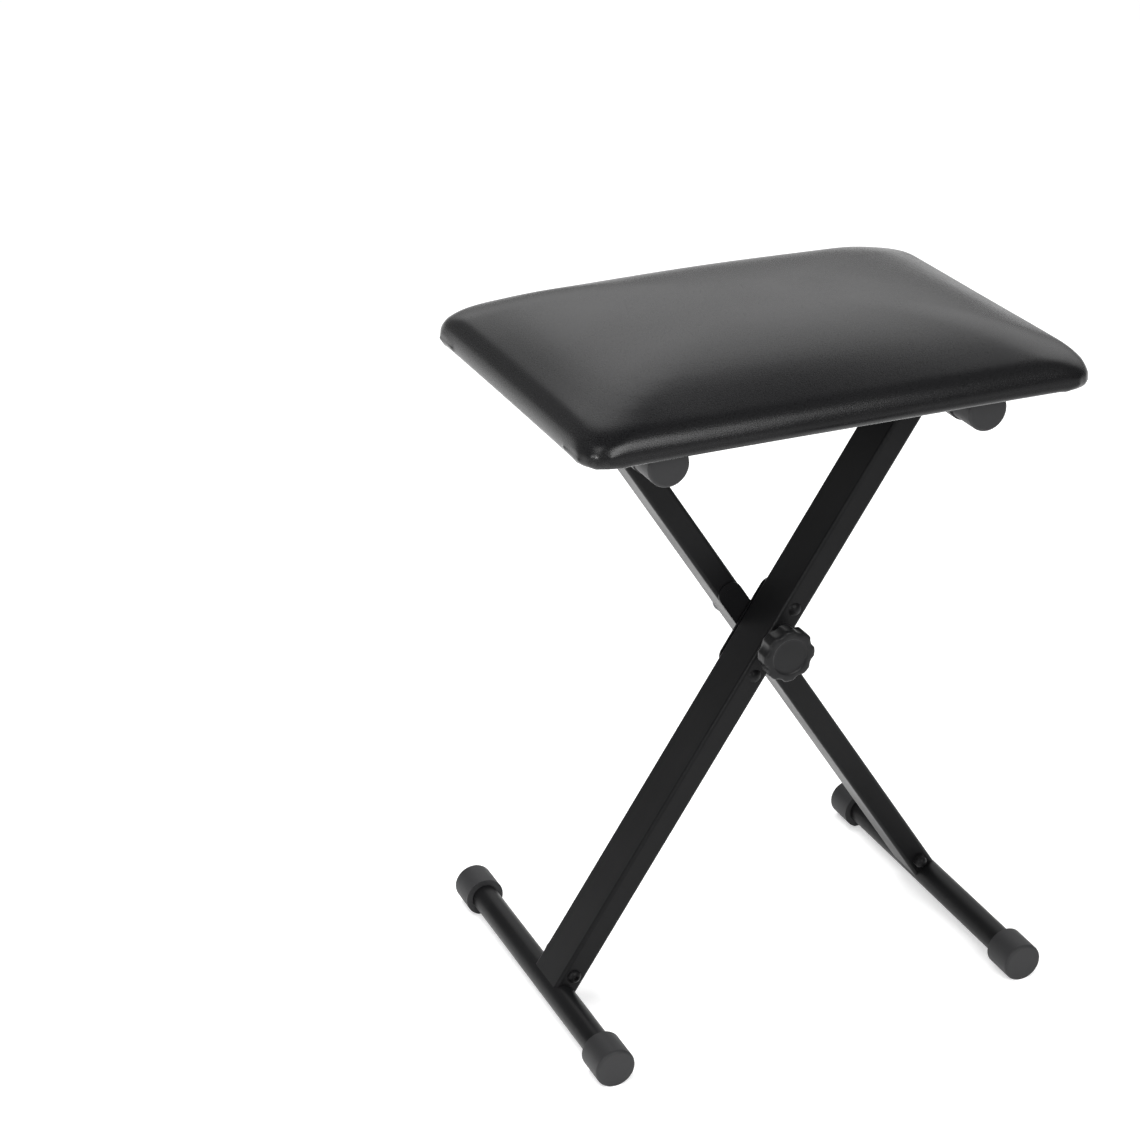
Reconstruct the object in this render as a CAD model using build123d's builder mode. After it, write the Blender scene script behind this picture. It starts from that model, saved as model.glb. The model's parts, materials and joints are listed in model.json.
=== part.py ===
"""Folding keyboard bench: a padded seat on an X frame of two rectangular tubes.

Millimetres. The origin is on the floor under the middle of the seat, +X runs along the seat,
+Y from the knob side to the bolt head side, +Z up. The front leg rises to the right on the knob
side, the rear leg rises to the left behind it.
"""
import os
from math import asin, cos, pi, radians, sin, sqrt

from build123d import *

# Frame geometry
leg_angle = 57.0          # slope of both legs above the floor, at the highest setting
lower_arm = 326.5         # pivot to the axis of a foot bar, along the leg
upper_arm = 234.7         # pivot to the axis of a top bar, along the leg
leg_gap = 5.0             # between the facing sides of the two legs

# Leg tubes
leg_depth = 40.0          # across the bench
leg_width = 20.0          # in the plane of the X
leg_wall = 1.5
leg_corner = 3.0

# Round bars and their end caps
bar_diameter = 22.0
bar_wall = 1.5
foot_bar_inset = 1.5      # foot caps' ends in from the sides of the seat
top_bar_inset = 28.5      # top caps' ends in from the sides of the seat
cap_wall = 5.0            # around the bar
cap_length = 28.0
cap_end_wall = 4.0
cap_edge = 2.5            # rounded outer edge of a cap
foot_flat = 1.0           # how deep the flat under a foot cap is cut

# Foot joints
spigot_length = 56.0      # from the foot bar's axis
spigot_wall = 2.0
foot_bolt_height = 9.0    # from the top of the foot bar to the bolt's axis, along the leg
foot_bolt_diameter = 6.0
foot_bolt_head_diameter = 11.0
foot_bolt_head_height = 3.4
foot_nut_flats = 10.0
foot_nut_height = 5.0
foot_nut_dome = 3.6

# Pivot and clutch
pivot_diameter = 10.0
pivot_head_flats = 17.0
pivot_head_height = 6.4
pivot_washer_diameter = 22.0
pivot_washer_thickness = 2.0
sleeve_wall = 2.0
clutch_thickness = 1.5
clutch_end = 10.0         # from a rivet's axis to the end of a clutch plate
clutch_teeth = 24
tooth_length = 3.0
tooth_height = 0.7
tooth_taper = 12.0        # degrees
tooth_margin = 0.8        # from a tooth to the edge of its plate
rivet_offset = 30.0       # from the pivot, along the leg
rivet_diameter = 6.0
rivet_head_diameter = 11.0
rivet_head_height = 2.6

# Knob
knob_diameter = 43.0
knob_grip = 14.0          # length of the fluted grip
knob_hub_diameter = 26.0
knob_hub = 10.0           # length of the hub behind the grip
knob_flutes = 8
flute_radius = 9.0
flute_depth = 1.8
knob_edge = 1.6
insert_wall = 2.5
insert_length = 13.0
insert_cover = 5.0        # knob material in front of the insert
bolt_short = 1.0          # bolt tip to the front end of the insert

# Seat
seat_length = 400.0
seat_width = 295.0
crown_height = 57.0       # underside of the cover to the top of the crown
crown_power = 2.0         # how soon the top flattens towards the crown
roll_radius = 23.0        # rolled upper edge
tuck_radius = 8.0         # where the cover turns under
widest_height = 6.0       # of the widest line above the underside
seat_corner = 20.0        # corner radius in plan
corner_growth = 1.3       # how much rounder the corners get for each millimetre of inset
least_side = 2.0          # half of what is always left of a side between its corners
side_draw = 2.0           # how far each side is drawn in between its corners
cover_thickness = 1.2
cover_fold = 30.0         # width of the cover folded in under the board
board_thickness = 12.0
board_inset = 6.5
board_corner = 18.0
dust_cover_thickness = 0.8
dust_cover_inset = 20.0
dust_cover_corner = 12.0
roll_steps = (0, 16, 32, 48, 65)               # degrees round the rolled edge
crown_steps = (0.2, 0.42, 0.64, 0.82, 0.95)    # shares of the way from the roll to the middle

# Saddles and keepers under the seat
bracket_width = 15.0      # across the bench
bracket_cap_gap = 1.0     # between a bracket and the cap on its bar
bracket_wall = 6.0        # around the bar
saddle_ear = 19.0         # flange beyond the ring
keeper_reach = 44.0       # flange, beyond the bar's axis
keeper_lip = 18.0         # lower limb, beyond the bar's axis
keeper_tail = 24.0        # flange behind the keeper's bend
keeper_outer_screw = 30.0     # from the bar's axis
screw_diameter = 5.0
screw_head_diameter = 9.8
screw_bite = 10.0         # how far a screw reaches into the board
tee_flange_diameter = 18.0
tee_flange_thickness = 1.4
tee_barrel_wall = 1.2

# Clearances
running_gap = 0.06        # radial, on pins and journals that turn
fixed_gap = 0.05          # radial, on pieces fixed together
slide_gap = 0.3           # keepers to the bar that runs out of them
spigot_gap = 0.2          # each side, spigot in leg
hole_gap = 0.3            # radial, bolts and screws in through holes
cap_clear = 0.5           # top caps to the underside of the seat
foam_gap = 0.1            # foam to cover and to tee nuts

# Worked out from the values above
leg_run = cos(radians(leg_angle))
leg_rise = sin(radians(leg_angle))
bar_radius = bar_diameter / 2
cap_radius = bar_radius + cap_wall
foot_axis = cap_radius - foot_flat
foot_bar_span = seat_width - 2 * foot_bar_inset
top_bar_span = seat_width - 2 * top_bar_inset
pivot_height = foot_axis + lower_arm * leg_rise
top_axis = pivot_height + upper_arm * leg_rise
foot_reach = lower_arm * leg_run
top_reach = upper_arm * leg_run
inner_face = leg_gap / 2
outer_face = inner_face + leg_depth
plate_face = inner_face - clutch_thickness
foot_bolt_along = bar_radius + foot_bolt_height - lower_arm
pivot_radius = pivot_diameter / 2
rivet_radius = rivet_diameter / 2
sleeve_radius = pivot_radius + running_gap + sleeve_wall
clutch_radius = leg_width / 2
knob_back = outer_face + pivot_washer_thickness
knob_front = knob_back + knob_hub + knob_grip
insert_front = knob_front - insert_cover
insert_radius = pivot_radius + running_gap + insert_wall
seat_rest = top_axis + cap_radius + cap_clear
cover_base = seat_rest + dust_cover_thickness
board_base = cover_base + cover_thickness
board_top = board_base + board_thickness
screw_radius = screw_diameter / 2
screw_head_radius = screw_head_diameter / 2
screw_tip = board_base + screw_bite
tee_barrel_radius = screw_radius + fixed_gap + tee_barrel_wall
bracket_offset = top_bar_span / 2 - cap_length - bracket_cap_gap - bracket_width / 2
saddle_bore = bar_radius + running_gap
saddle_radius = saddle_bore + bracket_wall
saddle_flange = seat_rest - bracket_wall
keeper_bore = bar_radius + slide_gap
keeper_radius = keeper_bore + bracket_wall
keeper_roof = top_axis + keeper_bore

LEGS = {"front": 1, "rear": -1}
ENDS = {"near": -1, "far": 1}
saddle_screws_at = [(-top_reach + way * (saddle_radius + saddle_ear / 2), end * bracket_offset)
                    for way in (-1, 1) for end in ENDS.values()]
keeper_screws_at = [(top_reach + x, end * bracket_offset)
                    for x in (-keeper_radius - keeper_tail / 2, keeper_outer_screw)
                    for end in ENDS.values()]
screws_at = saddle_screws_at + keeper_screws_at


# Planes that the pieces are drawn on, and a point that shapes domes
def leg_plane(side, depth, facing=1):
    """In the side of a leg, x up along the leg, depth out from the middle of the bench."""
    return Plane(origin=(0, -side * depth, pivot_height), x_dir=(side * leg_run, 0, leg_rise),
                 z_dir=(0, -side * facing, 0))


def leg_section(side, along):
    """Square across a leg, on its axis, that far up from the pivot."""
    middle = (side * along * leg_run, -side * (inner_face + leg_depth / 2),
              pivot_height + along * leg_rise)
    return Plane(origin=middle, x_dir=(0, 1, 0), z_dir=(side * leg_run, 0, leg_rise))


def leg_lathe(side, along, depth):
    """For turned pieces across a leg: x is the radius, y points out of the leg's outer face."""
    return Plane(origin=(side * along * leg_run, -side * depth, pivot_height + along * leg_rise),
                 x_dir=(1, 0, 0), z_dir=(0, 0, -side))


def bar_end(centre, end, y):
    """Square across a bar, facing out of its near or far end."""
    return Plane(origin=(centre[0], end * y, centre[1]), x_dir=(1, 0, 0), z_dir=(0, end, 0))


def upright_lathe(x, y, z):
    """For turned pieces that stand up: x is the radius, y points up."""
    return Plane(origin=(x, y, z), x_dir=(1, 0, 0), z_dir=(0, -1, 0))


def lathe_axis(plane):
    return Axis(plane.origin, plane.y_dir)


def dome_point(radius, height):
    """Halfway down a round dome of that height over a circle of that radius."""
    ball = (radius ** 2 + height ** 2) / (2 * height)
    slope = asin(radius / ball) / 2
    return ball * sin(slope), height - ball * (1 - cos(slope))


def foot_centre(side):
    return -side * foot_reach, foot_axis


def top_centre(side):
    return side * top_reach, top_axis


# Legs
def leg_tube(side):
    with BuildPart() as tube:
        with BuildSketch(leg_section(side, -lower_arm)):
            RectangleRounded(leg_depth, leg_width, leg_corner)
            RectangleRounded(leg_depth - 2 * leg_wall, leg_width - 2 * leg_wall,
                             leg_corner - leg_wall, mode=Mode.SUBTRACT)
        extrude(amount=lower_arm + upper_arm)
        with BuildSketch(leg_plane(side, inner_face)):
            with Locations((-lower_arm, 0), (upper_arm, 0)):
                Circle(bar_radius + fixed_gap)
            Circle(sleeve_radius + fixed_gap)
            with Locations((-rivet_offset, 0), (rivet_offset, 0)):
                Circle(rivet_radius + fixed_gap)
            with Locations((foot_bolt_along, 0)):
                Circle(foot_bolt_diameter / 2 + hole_gap)
        extrude(amount=leg_depth, mode=Mode.SUBTRACT)
    return tube.part


def pivot_sleeve(side):
    with BuildPart() as sleeve:
        with BuildSketch(leg_plane(side, inner_face)):
            Circle(sleeve_radius)
            Circle(sleeve_radius - sleeve_wall, mode=Mode.SUBTRACT)
        extrude(amount=leg_depth)
    return sleeve.part


def clutch_plate(side):
    """Strip on the inner face of a leg, with a ring of radial teeth round the pivot."""
    tooth_middle = clutch_radius - tooth_margin - tooth_length / 2
    tooth_root = pi * (tooth_middle - tooth_length / 2) / clutch_teeth
    with BuildPart() as plate:
        with BuildSketch(leg_plane(side, plate_face)):
            SlotOverall(2 * (rivet_offset + clutch_end), 2 * clutch_radius)
            Circle(pivot_radius + running_gap, mode=Mode.SUBTRACT)
        extrude(amount=clutch_thickness)
        with BuildSketch(leg_plane(side, plate_face, facing=-1)):
            with PolarLocations(tooth_middle, clutch_teeth):
                Rectangle(tooth_length, tooth_root)
        extrude(amount=tooth_height, taper=tooth_taper)
        for along in (-rivet_offset, rivet_offset):
            lathe = leg_lathe(side, along, inner_face)
            with BuildSketch(lathe):
                with BuildLine():
                    Polyline((0, 0), (rivet_radius + fixed_gap, 0),
                             (rivet_radius + fixed_gap + clutch_thickness, -clutch_thickness),
                             (0, -clutch_thickness), close=True)
                make_face()
            revolve(axis=lathe_axis(lathe), mode=Mode.SUBTRACT)
    return plate.part


def clutch_rivets(side):
    """Domed on the leg's outer face, countersunk flush in the clutch plate."""
    head = rivet_head_diameter / 2
    with BuildPart() as rivets:
        for along in (-rivet_offset, rivet_offset):
            lathe = leg_lathe(side, along, outer_face)
            with BuildSketch(lathe):
                with BuildLine():
                    Polyline((0, rivet_head_height), (0, -leg_depth - clutch_thickness),
                             (rivet_radius + clutch_thickness, -leg_depth - clutch_thickness),
                             (rivet_radius, -leg_depth), (rivet_radius, 0), (head, 0))
                    ThreePointArc((head, 0), dome_point(head, rivet_head_height),
                                  (0, rivet_head_height))
                make_face()
            revolve(axis=lathe_axis(lathe))
    return rivets.part


# Bars and caps
def top_bar(side):
    length = top_bar_span - 2 * cap_end_wall
    with BuildPart() as bar:
        with BuildSketch(bar_end(top_centre(side), 1, -length / 2)):
            Circle(bar_radius)
            Circle(bar_radius - bar_wall, mode=Mode.SUBTRACT)
        extrude(amount=length)
    return bar.part


def foot_bar(side):
    """Round bar with the welded spigot that plugs into the leg."""
    length = foot_bar_span - 2 * cap_end_wall
    end_face = bar_end(foot_centre(side), 1, -length / 2)
    spigot_depth = leg_depth - 2 * (leg_wall + spigot_gap)
    spigot_width = leg_width - 2 * (leg_wall + spigot_gap)
    with BuildPart() as bar:
        with BuildSketch(end_face):
            Circle(bar_radius)
        extrude(amount=length)
        with BuildSketch(leg_section(side, -lower_arm)):
            RectangleRounded(spigot_depth, spigot_width, leg_corner - leg_wall)
            Rectangle(spigot_depth - 2 * spigot_wall, spigot_width - 2 * spigot_wall,
                      mode=Mode.SUBTRACT)
        extrude(amount=spigot_length)
        with BuildSketch(end_face):
            Circle(bar_radius - bar_wall)
        extrude(amount=length, mode=Mode.SUBTRACT)
        with BuildSketch(leg_plane(side, inner_face)):
            with Locations((foot_bolt_along, 0)):
                Circle(foot_bolt_diameter / 2 + hole_gap)
        extrude(amount=leg_depth, mode=Mode.SUBTRACT)
    return bar.part


def end_cap(centre, end, span, stands):
    """Rubber cup over a bar's end. One that stands on the floor has a flat moulded underneath."""
    mouth = bar_end(centre, end, span / 2 - cap_length)
    with BuildPart() as cap:
        with BuildSketch(mouth):
            Circle(cap_radius)
        extrude(amount=cap_length)
        outer_edge = cap.edges().filter_by(GeomType.CIRCLE).sort_by(Axis.Y)[-1 if end > 0 else 0]
        fillet(outer_edge, radius=cap_edge)
        with BuildSketch(mouth):
            Circle(bar_radius + fixed_gap)
        extrude(amount=cap_length - cap_end_wall, mode=Mode.SUBTRACT)
        if stands:
            with BuildSketch(Plane(origin=(centre[0], end * (span - cap_length) / 2, 0))):
                Rectangle(2 * cap_radius, 2 * cap_length)
            extrude(amount=-cap_radius, mode=Mode.SUBTRACT)
    return cap.part


# Foot bolts
def foot_bolt(side):
    lathe = leg_lathe(side, foot_bolt_along, outer_face)
    shank = foot_bolt_diameter / 2
    head = foot_bolt_head_diameter / 2
    tip = -leg_depth - foot_nut_height
    with BuildPart() as bolt:
        with BuildSketch(lathe):
            with BuildLine():
                Polyline((0, foot_bolt_head_height), (0, tip), (shank, tip), (shank, 0), (head, 0))
                ThreePointArc((head, 0), dome_point(head, foot_bolt_head_height),
                              (0, foot_bolt_head_height))
            make_face()
        revolve(axis=lathe_axis(lathe))
    return bolt.part


def foot_nut(side):
    """Domed nut on the leg's inner face."""
    lathe = leg_lathe(side, foot_bolt_along, inner_face - foot_nut_height)
    dome = foot_nut_flats / 2
    dome_x, dome_y = dome_point(dome, foot_nut_dome)
    with BuildPart() as nut:
        with BuildSketch(leg_plane(side, inner_face, facing=-1)):
            with Locations((foot_bolt_along, 0)):
                RegularPolygon(foot_nut_flats / 2, 6, major_radius=False)
        extrude(amount=foot_nut_height)
        with BuildSketch(lathe):
            with BuildLine():
                Polyline((0, -foot_nut_dome), (0, 0), (dome, 0))
                ThreePointArc((dome, 0), (dome_x, -dome_y), (0, -foot_nut_dome))
            make_face()
        revolve(axis=lathe_axis(lathe))
        with BuildSketch(leg_plane(side, inner_face, facing=-1)):
            with Locations((foot_bolt_along, 0)):
                Circle(foot_bolt_diameter / 2 + fixed_gap)
        extrude(amount=foot_nut_height, mode=Mode.SUBTRACT)
    return nut.part


# Pivot and knob
def pivot_bolt():
    """Hexagon bolt through both legs, its head on the rear leg."""
    seat_of_head = outer_face + pivot_washer_thickness
    with BuildPart() as bolt:
        with BuildSketch(leg_plane(LEGS["rear"], seat_of_head)):
            RegularPolygon(pivot_head_flats / 2, 6, major_radius=False)
        extrude(amount=pivot_head_height)
        with BuildSketch(leg_plane(LEGS["rear"], seat_of_head, facing=-1)):
            Circle(pivot_radius)
        extrude(amount=seat_of_head + insert_front - bolt_short)
    return bolt.part


def pivot_washer(side, bore):
    with BuildPart() as washer:
        with BuildSketch(leg_plane(side, outer_face)):
            Circle(pivot_washer_diameter / 2)
            Circle(bore, mode=Mode.SUBTRACT)
        extrude(amount=pivot_washer_thickness)
    return washer.part


def clamp_knob():
    side = LEGS["front"]
    flute_centre = knob_diameter / 2 + flute_radius - flute_depth
    with BuildPart() as knob:
        with BuildSketch(leg_plane(side, knob_back + knob_hub)):
            Circle(knob_diameter / 2)
            with PolarLocations(flute_centre, knob_flutes):
                Circle(flute_radius, mode=Mode.SUBTRACT)
        extrude(amount=knob_grip)
        rims = knob.faces().filter_by(Axis.Y).edges()
        fillet(rims, radius=knob_edge)
        with BuildSketch(leg_plane(side, knob_back)):
            Circle(knob_hub_diameter / 2)
        extrude(amount=knob_hub)
        with BuildSketch(leg_plane(side, knob_back)):
            Circle(pivot_radius + hole_gap)
        extrude(amount=insert_front - knob_back, mode=Mode.SUBTRACT)
        with BuildSketch(leg_plane(side, insert_front - insert_length)):
            Circle(insert_radius + fixed_gap)
        extrude(amount=insert_length, mode=Mode.SUBTRACT)
    return knob.part


def knob_insert():
    with BuildPart() as insert:
        with BuildSketch(leg_plane(LEGS["front"], insert_front - insert_length)):
            Circle(insert_radius)
            Circle(pivot_radius + running_gap, mode=Mode.SUBTRACT)
        extrude(amount=insert_length)
    return insert.part


# Seat
def cushion_levels(shrink):
    """Height and inset of each outline of the pad, shrunk all round by that much."""
    roll = roll_radius - shrink
    tuck = tuck_radius - shrink
    under = asin((widest_height - shrink) / tuck)
    levels = [(shrink, shrink + tuck * (1 - cos(under)))]
    for step in roll_steps:
        turn = radians(step)
        levels.append((widest_height + roll * sin(turn), shrink + roll * (1 - cos(turn))))
    shoulder, shoulder_inset = levels[-1]
    crown = crown_height - shrink
    reach = seat_width / 2 - shoulder_inset
    for share in crown_steps:
        levels.append((crown - (crown - shoulder) * (1 - share) ** crown_power,
                       shoulder_inset + reach * share))
    return levels


def cushion_arcs(inset):
    """Rounded oblong as eight arcs, each side drawn in between its corners."""
    x = seat_length / 2 - inset
    y = seat_width / 2 - inset
    corner = min(seat_corner + corner_growth * inset, y - least_side)
    cut = corner * (1 - sqrt(0.5))
    draw = side_draw * 2 * y / seat_width
    half = [((corner - x, -y), (0, draw - y), (x - corner, -y)),
            ((x - corner, -y), (x - cut, cut - y), (x, corner - y)),
            ((x, corner - y), (x - draw, 0), (x, y - corner)),
            ((x, y - corner), (x - cut, y - cut), (x - corner, y))]
    return half + [[(-px, -py) for px, py in arc] for arc in half]


def cushion(shrink):
    """The whole pad, shrunk all round by that much."""
    with BuildPart() as pad:
        for height, inset in cushion_levels(shrink):
            with BuildSketch(Plane.XY.offset(cover_base + height)):
                with BuildLine():
                    for arc in cushion_arcs(inset):
                        ThreePointArc(*arc)
                make_face()
        loft(ruled=True)
    return pad.part


def seat_cover():
    with BuildPart() as hollow:
        add(cushion(cover_thickness))
        with BuildSketch(Plane.XY.offset(cover_base)):
            RectangleRounded(seat_length - 2 * (board_inset + cover_fold),
                             seat_width - 2 * (board_inset + cover_fold), board_corner)
            with Locations(*screws_at):
                Circle(screw_radius + hole_gap)
        extrude(amount=board_thickness, both=True)
    with BuildPart() as cover:
        add(cushion(0))
        add(hollow.part, mode=Mode.SUBTRACT)
    return cover.part


def seat_foam():
    """Fills the cover above and around the board."""
    with BuildPart() as foam:
        add(cushion(cover_thickness + foam_gap))
        with BuildSketch(Plane.XY.offset(cover_base)):
            RectangleRounded(seat_length - 2 * board_inset, seat_width - 2 * board_inset, board_corner)
        extrude(amount=board_top - cover_base, mode=Mode.SUBTRACT)
        with BuildSketch(Plane.XY.offset(board_top)):
            with Locations(*screws_at):
                Circle(tee_flange_diameter / 2 + foam_gap)
        extrude(amount=tee_flange_thickness, mode=Mode.SUBTRACT)
    return foam.part


def seat_board():
    with BuildPart() as board:
        with BuildSketch(Plane.XY.offset(board_base)):
            RectangleRounded(seat_length - 2 * board_inset, seat_width - 2 * board_inset, board_corner)
            with Locations(*screws_at):
                Circle(tee_barrel_radius + fixed_gap, mode=Mode.SUBTRACT)
        extrude(amount=board_thickness)
    return board.part


def dust_cover():
    with BuildPart() as cloth:
        with BuildSketch(Plane.XY.offset(seat_rest)):
            RectangleRounded(seat_length - 2 * dust_cover_inset, seat_width - 2 * dust_cover_inset,
                             dust_cover_corner)
            with Locations(*screws_at):
                Circle(screw_radius + hole_gap, mode=Mode.SUBTRACT)
        extrude(amount=dust_cover_thickness)
    return cloth.part


def board_tee_nuts():
    with BuildPart() as nuts:
        with BuildSketch(Plane.XY.offset(board_base)):
            with Locations(*screws_at):
                Circle(tee_barrel_radius)
        extrude(amount=board_thickness)
        with BuildSketch(Plane.XY.offset(board_top)):
            with Locations(*screws_at):
                Circle(tee_flange_diameter / 2)
        extrude(amount=tee_flange_thickness)
        with BuildSketch(Plane.XY.offset(board_base)):
            with Locations(*screws_at):
                Circle(screw_radius + fixed_gap)
        extrude(amount=board_thickness + tee_flange_thickness, mode=Mode.SUBTRACT)
    return nuts.part


# Saddles and keepers
def bracket_plane(end):
    """Upright along the bench at the far side of a bracket, x and y are the bench's x and z."""
    return Plane.XZ.offset(-end * bracket_offset - bracket_width / 2)


def screw_holes(places, flange):
    """Countersunk from below in a flange whose underside is at that height."""
    for x, y in places:
        with Locations(Plane(origin=(x, y, flange), z_dir=(0, 0, -1))):
            CounterSinkHole(screw_radius + hole_gap, screw_head_radius + hole_gap,
                            depth=seat_rest - flange, counter_sink_angle=90)


def saddle(end):
    """Ring that the left top bar turns in, with a flange each side."""
    x, z = top_centre(LEGS["rear"])
    with BuildPart() as block:
        with BuildSketch(bracket_plane(end)):
            with Locations((x, z)):
                Circle(saddle_radius)
                Rectangle(2 * saddle_radius, seat_rest - z, align=(Align.CENTER, Align.MIN))
            with Locations((x, seat_rest)):
                Rectangle(2 * (saddle_radius + saddle_ear), bracket_wall,
                          align=(Align.CENTER, Align.MAX))
                Rectangle(2 * saddle_radius, saddle_radius, align=(Align.CENTER, Align.MIN),
                          mode=Mode.SUBTRACT)
            with Locations((x, z)):
                Circle(saddle_bore, mode=Mode.SUBTRACT)
        extrude(amount=bracket_width)
        screw_holes([place for place in saddle_screws_at if place[1] * end > 0], saddle_flange)
    return block.part


def keeper(end):
    """Hook, open to the right, that the right top bar lies in and runs out of."""
    x, z = top_centre(LEGS["front"])
    with BuildPart() as hook:
        with BuildSketch(bracket_plane(end)):
            with Locations((x, z)):
                Circle(keeper_radius)
                Rectangle(keeper_lip, 2 * keeper_radius, align=(Align.MIN, Align.CENTER))
            with Locations((x + keeper_reach, seat_rest)):
                Rectangle(keeper_reach + keeper_radius + keeper_tail, seat_rest - keeper_roof,
                          align=(Align.MAX, Align.MAX))
            with Locations((x, seat_rest)):
                Rectangle(2 * (keeper_radius + keeper_reach), keeper_radius,
                          align=(Align.CENTER, Align.MIN), mode=Mode.SUBTRACT)
            with Locations((x, z)):
                Circle(keeper_bore, mode=Mode.SUBTRACT)
                Rectangle(keeper_reach, 2 * keeper_bore, align=(Align.MIN, Align.CENTER),
                          mode=Mode.SUBTRACT)
        extrude(amount=bracket_width)
        screw_holes([place for place in keeper_screws_at if place[1] * end > 0], keeper_roof)
    return hook.part


def bracket_screws(places, flange):
    """Countersunk screws from a flange's underside up into the tee nuts."""
    cone = screw_head_radius - screw_radius
    with BuildPart() as screws:
        for x, y in places:
            lathe = upright_lathe(x, y, flange)
            with BuildSketch(lathe):
                with BuildLine():
                    Polyline((0, fixed_gap), (screw_head_radius, fixed_gap),
                             (screw_radius, fixed_gap + cone), (screw_radius, screw_tip - flange),
                             (0, screw_tip - flange), close=True)
                make_face()
            revolve(axis=lathe_axis(lathe))
    return screws.part


# The whole bench
pieces = {
    "seat_cover": seat_cover(),
    "seat_foam": seat_foam(),
    "seat_board": seat_board(),
    "dust_cover": dust_cover(),
    "board_tee_nuts": board_tee_nuts(),
    "saddle_screws": bracket_screws(saddle_screws_at, saddle_flange),
    "keeper_screws": bracket_screws(keeper_screws_at, keeper_roof),
    "pivot_bolt": pivot_bolt(),
    "pivot_washer": pivot_washer(LEGS["rear"], pivot_radius + hole_gap),
    "thrust_washer": pivot_washer(LEGS["front"], pivot_radius + running_gap),
    "clamp_knob": clamp_knob(),
    "knob_insert": knob_insert(),
}
for place, end in ENDS.items():
    pieces[f"{place}_saddle"] = saddle(end)
    pieces[f"{place}_keeper"] = keeper(end)
for leg, side in LEGS.items():
    pieces[f"{leg}_leg"] = leg_tube(side)
    pieces[f"{leg}_pivot_sleeve"] = pivot_sleeve(side)
    pieces[f"{leg}_clutch_plate"] = clutch_plate(side)
    pieces[f"{leg}_clutch_rivets"] = clutch_rivets(side)
    pieces[f"{leg}_top_bar"] = top_bar(side)
    pieces[f"{leg}_foot_bar"] = foot_bar(side)
    pieces[f"{leg}_foot_bolt"] = foot_bolt(side)
    pieces[f"{leg}_foot_nut"] = foot_nut(side)
    for place, end in ENDS.items():
        pieces[f"{leg}_top_cap_{place}"] = end_cap(top_centre(side), end, top_bar_span, stands=False)
        pieces[f"{leg}_foot_cap_{place}"] = end_cap(foot_centre(side), end, foot_bar_span, stands=True)

os.makedirs("parts", exist_ok=True)
for name, piece in pieces.items():
    piece.label = name
    export_step(piece, f"parts/{name}.step")
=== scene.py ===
"""Black folding keyboard bench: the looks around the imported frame, seen as in the photograph."""
import json
from math import cos, pi, radians, sin, sqrt, tan
import bmesh
import bpy
import numpy as np
from mathutils import Matrix, Vector


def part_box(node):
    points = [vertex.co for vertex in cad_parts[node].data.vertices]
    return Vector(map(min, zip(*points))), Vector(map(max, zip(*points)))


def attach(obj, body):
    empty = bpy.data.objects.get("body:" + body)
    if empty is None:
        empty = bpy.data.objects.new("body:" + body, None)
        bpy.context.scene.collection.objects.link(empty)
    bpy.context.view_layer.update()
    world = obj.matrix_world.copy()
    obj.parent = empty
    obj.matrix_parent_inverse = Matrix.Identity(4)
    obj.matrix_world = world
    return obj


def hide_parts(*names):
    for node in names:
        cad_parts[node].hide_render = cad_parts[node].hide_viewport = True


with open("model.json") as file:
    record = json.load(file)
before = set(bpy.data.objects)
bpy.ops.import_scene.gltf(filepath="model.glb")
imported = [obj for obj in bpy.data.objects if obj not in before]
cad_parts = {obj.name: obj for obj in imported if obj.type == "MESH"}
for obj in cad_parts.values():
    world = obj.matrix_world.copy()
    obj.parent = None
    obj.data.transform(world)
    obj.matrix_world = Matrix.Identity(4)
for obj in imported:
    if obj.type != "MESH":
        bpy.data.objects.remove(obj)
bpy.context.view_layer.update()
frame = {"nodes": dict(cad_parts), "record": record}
nodes = frame["nodes"]
scene = bpy.context.scene
MM = 0.001
CORNER_WAYS = ((1, -1), (1, 1), (-1, 1), (-1, -1))    # of an oblong, from the near right corner on

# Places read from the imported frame, in metres
seat_low, seat_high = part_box("seat_cover")
cloth_low, cloth_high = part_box("dust_cover")
knob_low, knob_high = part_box("clamp_knob")
pivot_x = (knob_low.x + knob_high.x) / 2
pivot_z = (knob_low.z + knob_high.z) / 2


# Mesh helpers
def piece_from(name, verts, faces, material):
    mesh = bpy.data.meshes.new(name)
    mesh.from_pydata(verts, [], faces)
    mesh.materials.append(material)
    piece = bpy.data.objects.new(name, mesh)
    scene.collection.objects.link(piece)
    return piece


def shade(piece, sharp):
    """Smooth shading that breaks where faces meet at more than that many degrees."""
    form = bmesh.new()
    form.from_mesh(piece.data)
    for face in form.faces:
        face.smooth = True
    for edge in form.edges:
        edge.smooth = len(edge.link_faces) != 2 or edge.calc_face_angle(0) < radians(sharp)
    form.to_mesh(piece.data)
    form.free()


def outward(piece):
    """Merges doubled points and turns every face outwards."""
    form = bmesh.new()
    form.from_mesh(piece.data)
    bmesh.ops.remove_doubles(form, verts=form.verts, dist=1e-6)
    bmesh.ops.recalc_face_normals(form, faces=form.faces)
    form.to_mesh(piece.data)
    form.free()


def plain_copy(piece, name):
    """The evaluated shape of an object as a plain mesh in an object of its own."""
    graph = bpy.context.evaluated_depsgraph_get()
    mesh = bpy.data.meshes.new_from_object(piece.evaluated_get(graph), depsgraph=graph)
    made = bpy.data.objects.new(name, mesh)
    scene.collection.objects.link(made)
    return made


def discard(*pieces):
    for piece in pieces:
        bpy.data.objects.remove(piece)


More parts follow.
